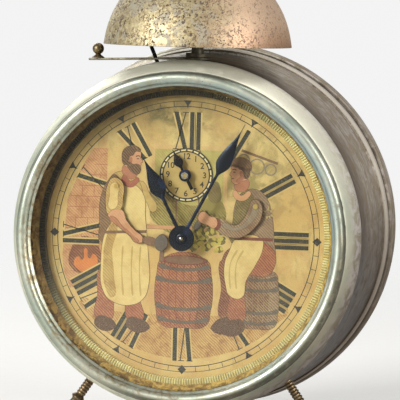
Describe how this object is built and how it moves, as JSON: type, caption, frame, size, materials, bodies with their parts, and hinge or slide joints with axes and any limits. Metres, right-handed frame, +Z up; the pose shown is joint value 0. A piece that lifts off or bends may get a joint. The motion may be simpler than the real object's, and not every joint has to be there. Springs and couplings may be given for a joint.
{
  "type": "automaton alarm clock",
  "caption": "Round metal alarm clock on ball-ended legs, with a bell on top and a printed dial whose tin arms move with the tick.",
  "frame": {"origin": "middle of the clock's width and depth, on the surface that its three feet stand on", "axes": "+Z up, the dial faces -Y, +X to the right as seen from the dial"},
  "size_m": [0.1376, 0.1048, 0.184],
  "materials": {
    "case_nickel": "worn nickel plate, tarnished grey with brown spots",
    "reflector_brass": "thin sheet brass, tarnished brown gold",
    "milled_brass": "milled ring, dull gold",
    "clear_glass": "clear flat glass",
    "printed_dial": "aged print on a tin dial, ochre and tan",
    "painted_tin": "printed tin, brick red and flesh colours",
    "bell_brass": "pale brass with brown pits, pink copper where worn",
    "leg_brass": "turned brass, tarnished",
    "blued_steel": "blued steel, near black",
    "post_steel": "dull steel strip and rod",
    "knob_brass": "dark tarnished brass ball",
    "hammer_steel": "blackened steel rod",
    "movement_brass": "rolled brass plate and cut wheels",
    "movement_steel": "bright steel"
  },
  "bodies": {
    "case": {"case_drum": "case_nickel", "back_cover": "case_nickel", "cover_screws": "post_steel", "bezel": "case_nickel", "glass": "clear_glass", "reflector": "reflector_brass", "sight_ring": "milled_brass", "dial_plate": "printed_dial", "dial_feet": "movement_brass", "front_plate": "movement_brass", "back_plate": "movement_brass", "plate_pillars": "movement_brass", "plate_nuts": "movement_steel", "time_spring": "movement_steel", "alarm_spring": "movement_steel", "clicks": "movement_steel", "hairspring": "movement_steel", "balance_screws": "movement_steel", "bell": "bell_brass", "bell_post": "post_steel", "bell_nut": "bell_brass", "front_legs": "leg_brass", "rear_leg": "leg_brass"},
    "minute_body": {"centre_wheel": "movement_brass", "cannon_pinion": "movement_steel", "minute_hand": "blued_steel", "hand_hub": "blued_steel", "hand_knob": "leg_brass"},
    "hour_body": {"hour_wheel": "movement_brass", "hour_hand": "blued_steel"},
    "minute_wheel_body": {"minute_wheel": "movement_brass"},
    "third_body": {"third_wheel": "movement_brass"},
    "escape_body": {"escape_wheel": "movement_brass"},
    "time_main_body": {"time_main_wheel": "movement_brass"},
    "time_winding_body": {"time_arbor": "movement_steel", "time_key": "leg_brass", "time_ratchet": "movement_steel"},
    "alarm_main_body": {"alarm_main_wheel": "movement_brass"},
    "alarm_winding_body": {"alarm_main_arbor": "movement_steel", "alarm_key": "leg_brass", "alarm_ratchet": "movement_steel"},
    "alarm_escape_body": {"alarm_escape_wheel": "movement_brass"},
    "alarm_wheel_body": {"alarm_wheel": "movement_brass"},
    "alarm_set_body": {"alarm_set_arbor": "movement_brass", "alarm_hand": "blued_steel", "alarm_knob": "leg_brass"},
    "balance_body": {"balance_wheel": "movement_brass"},
    "pallet_body": {"pallet_lever": "movement_steel", "arm_rocker": "movement_brass"},
    "left_link_body": {"left_link": "movement_steel"},
    "right_link_body": {"right_link": "movement_steel"},
    "left_arm_body": {"left_crank": "movement_brass", "left_arm": "painted_tin"},
    "right_arm_body": {"right_crank": "movement_brass", "right_arm": "painted_tin"},
    "hammer_body": {"hammer": "hammer_steel", "hammer_head": "hammer_steel"},
    "stop_body": {"stop_lever": "post_steel", "stop_knob": "knob_brass"},
    "regulator_body": {"regulator": "post_steel"}
  },
  "joints": [
    {"name": "minute_turn", "type": "hinge", "parent": "case", "child": "minute_body", "pos_m": [0, -0.03465, 0.07703], "axis": [0, 1, 0], "continuous": true},
    {"name": "hour_turn", "type": "hinge", "parent": "case", "child": "hour_body", "pos_m": [0, -0.03465, 0.07703], "axis": [0, 1, 0], "continuous": true},
    {"name": "minute_wheel_turn", "type": "hinge", "parent": "case", "child": "minute_wheel_body", "pos_m": [0.01207, -0.03465, 0.07006], "axis": [0, 1, 0], "continuous": true},
    {"name": "third_turn", "type": "hinge", "parent": "case", "child": "third_body", "pos_m": [0, -0.03465, 0.06083], "axis": [0, 1, 0], "continuous": true},
    {"name": "escape_turn", "type": "hinge", "parent": "case", "child": "escape_body", "pos_m": [0.007, -0.03465, 0.0487], "axis": [0, 1, 0], "continuous": true},
    {"name": "time_main_turn", "type": "hinge", "parent": "case", "child": "time_main_body", "pos_m": [0.03081, -0.03465, 0.07048], "axis": [0, 1, 0], "continuous": true},
    {"name": "time_wind", "type": "hinge", "parent": "case", "child": "time_winding_body", "pos_m": [0.03081, -0.03465, 0.07048], "axis": [0, 1, 0], "continuous": true},
    {"name": "alarm_main_turn", "type": "hinge", "parent": "case", "child": "alarm_main_body", "pos_m": [-0.03081, -0.03465, 0.07048], "axis": [0, 1, 0], "continuous": true},
    {"name": "alarm_wind", "type": "hinge", "parent": "case", "child": "alarm_winding_body", "pos_m": [-0.03081, -0.03465, 0.07048], "axis": [0, 1, 0], "continuous": true},
    {"name": "alarm_escape_turn", "type": "hinge", "parent": "case", "child": "alarm_escape_body", "pos_m": [-0.02408, -0.03465, 0.09559], "axis": [0, 1, 0], "continuous": true},
    {"name": "alarm_wheel_turn", "type": "hinge", "parent": "case", "child": "alarm_wheel_body", "pos_m": [0, -0.03465, 0.09933], "axis": [0, 1, 0], "continuous": true},
    {"name": "alarm_set", "type": "hinge", "parent": "case", "child": "alarm_set_body", "pos_m": [0, -0.03465, 0.09933], "axis": [0, 1, 0], "continuous": true},
    {"name": "balance_swing", "type": "hinge", "parent": "case", "child": "balance_body", "pos_m": [-0.01118, -0.03465, 0.03317], "axis": [0, 1, 0], "range_deg": [-120, 120]},
    {"name": "pallet_rock", "type": "hinge", "parent": "case", "child": "pallet_body", "pos_m": [-0.00185, -0.03465, 0.04251], "axis": [0, 1, 0], "range_deg": [-5, 5]},
    {"name": "left_link_slide", "type": "slide", "parent": "case", "child": "left_link_body", "axis": [1, 0, 0], "range_m": [-0.00175, 0.00175]},
    {"name": "right_link_slide", "type": "slide", "parent": "case", "child": "right_link_body", "axis": [1, 0, 0], "range_m": [-0.00175, 0.00175]},
    {"name": "left_arm_swing", "type": "hinge", "parent": "case", "child": "left_arm_body", "pos_m": [-0.0252, -0.03465, 0.09463], "axis": [0, 1, 0], "range_deg": [-7.15, 7.15]},
    {"name": "right_arm_swing", "type": "hinge", "parent": "case", "child": "right_arm_body", "pos_m": [0.0257, -0.03465, 0.08903], "axis": [0, 1, 0], "range_deg": [-7.15, 7.15]},
    {"name": "hammer_swing", "type": "hinge", "parent": "case", "child": "hammer_body", "pos_m": [-0.012, -0.03465, 0.10903], "axis": [0, 1, 0], "range_deg": [-2.6, 6]},
    {"name": "stop_lever_swing", "type": "hinge", "parent": "case", "child": "stop_body", "pos_m": [0, -0.01825, 0.14303], "axis": [0, 0, 1], "range_deg": [0, 12]},
    {"name": "regulator_swing", "type": "hinge", "parent": "case", "child": "regulator_body", "pos_m": [-0.01118, -0.03465, 0.03317], "axis": [0, 1, 0], "range_deg": [-20, 20]}
  ],
  "couplings": [
    {"joint": "hour_turn", "follows": "minute_turn", "ratio": 0.083333},
    {"joint": "minute_wheel_turn", "follows": "minute_turn", "ratio": -0.33333},
    {"joint": "third_turn", "follows": "minute_turn", "ratio": -8},
    {"joint": "escape_turn", "follows": "minute_turn", "ratio": 48},
    {"joint": "time_main_turn", "follows": "minute_turn", "ratio": -0.16667},
    {"joint": "alarm_wheel_turn", "follows": "minute_turn", "ratio": -0.083333},
    {"joint": "alarm_escape_turn", "follows": "alarm_main_turn", "ratio": -5.5},
    {"joint": "pallet_rock", "follows": "balance_swing", "ratio": 0.041666},
    {"joint": "left_link_slide", "follows": "balance_swing", "m_per_rad": 0.00083332},
    {"joint": "right_link_slide", "follows": "balance_swing", "m_per_rad": 0.00083332},
    {"joint": "left_arm_swing", "follows": "balance_swing", "ratio": -0.059524},
    {"joint": "right_arm_swing", "follows": "balance_swing", "ratio": -0.059524}
  ]
}
